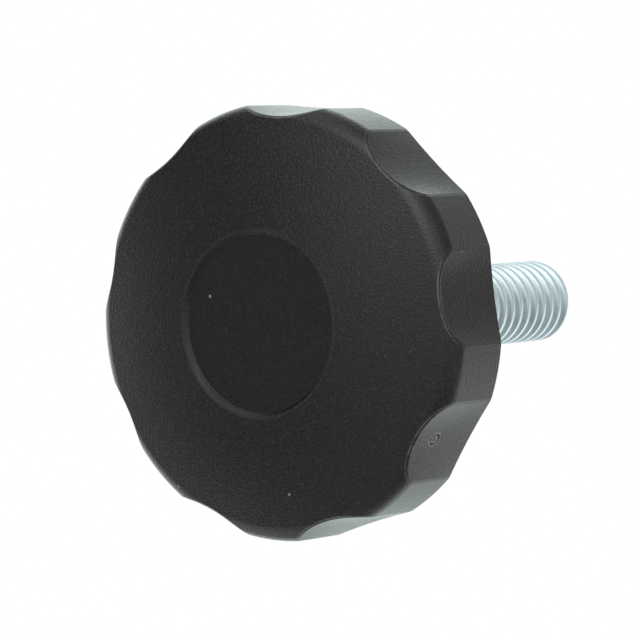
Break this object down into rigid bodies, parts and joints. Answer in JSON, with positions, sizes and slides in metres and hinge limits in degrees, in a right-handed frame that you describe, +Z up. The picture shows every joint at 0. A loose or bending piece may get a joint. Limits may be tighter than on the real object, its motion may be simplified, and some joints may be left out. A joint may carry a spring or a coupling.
{
  "type": "lobe knob",
  "caption": "Round black moulded hand knob with shallow finger flutes, a domed face with a sunk centre disc, a ribbed hollow underside and a threaded steel stud.",
  "frame": {"origin": "centre of the hub's rear seat, where the stud leaves the knob", "axes": "+Y along the stud towards its free end, +Z up through the middle of a flute"},
  "size_m": [0.05, 0.0588, 0.0494],
  "materials": {
    "black_plastic": "fine grained, matt",
    "zinc_plated_steel": "bright zinc plate"
  },
  "bodies": {
    "root": {"knob_body": "black_plastic", "threaded_stud": "zinc_plated_steel"}
  },
  "joints": []
}
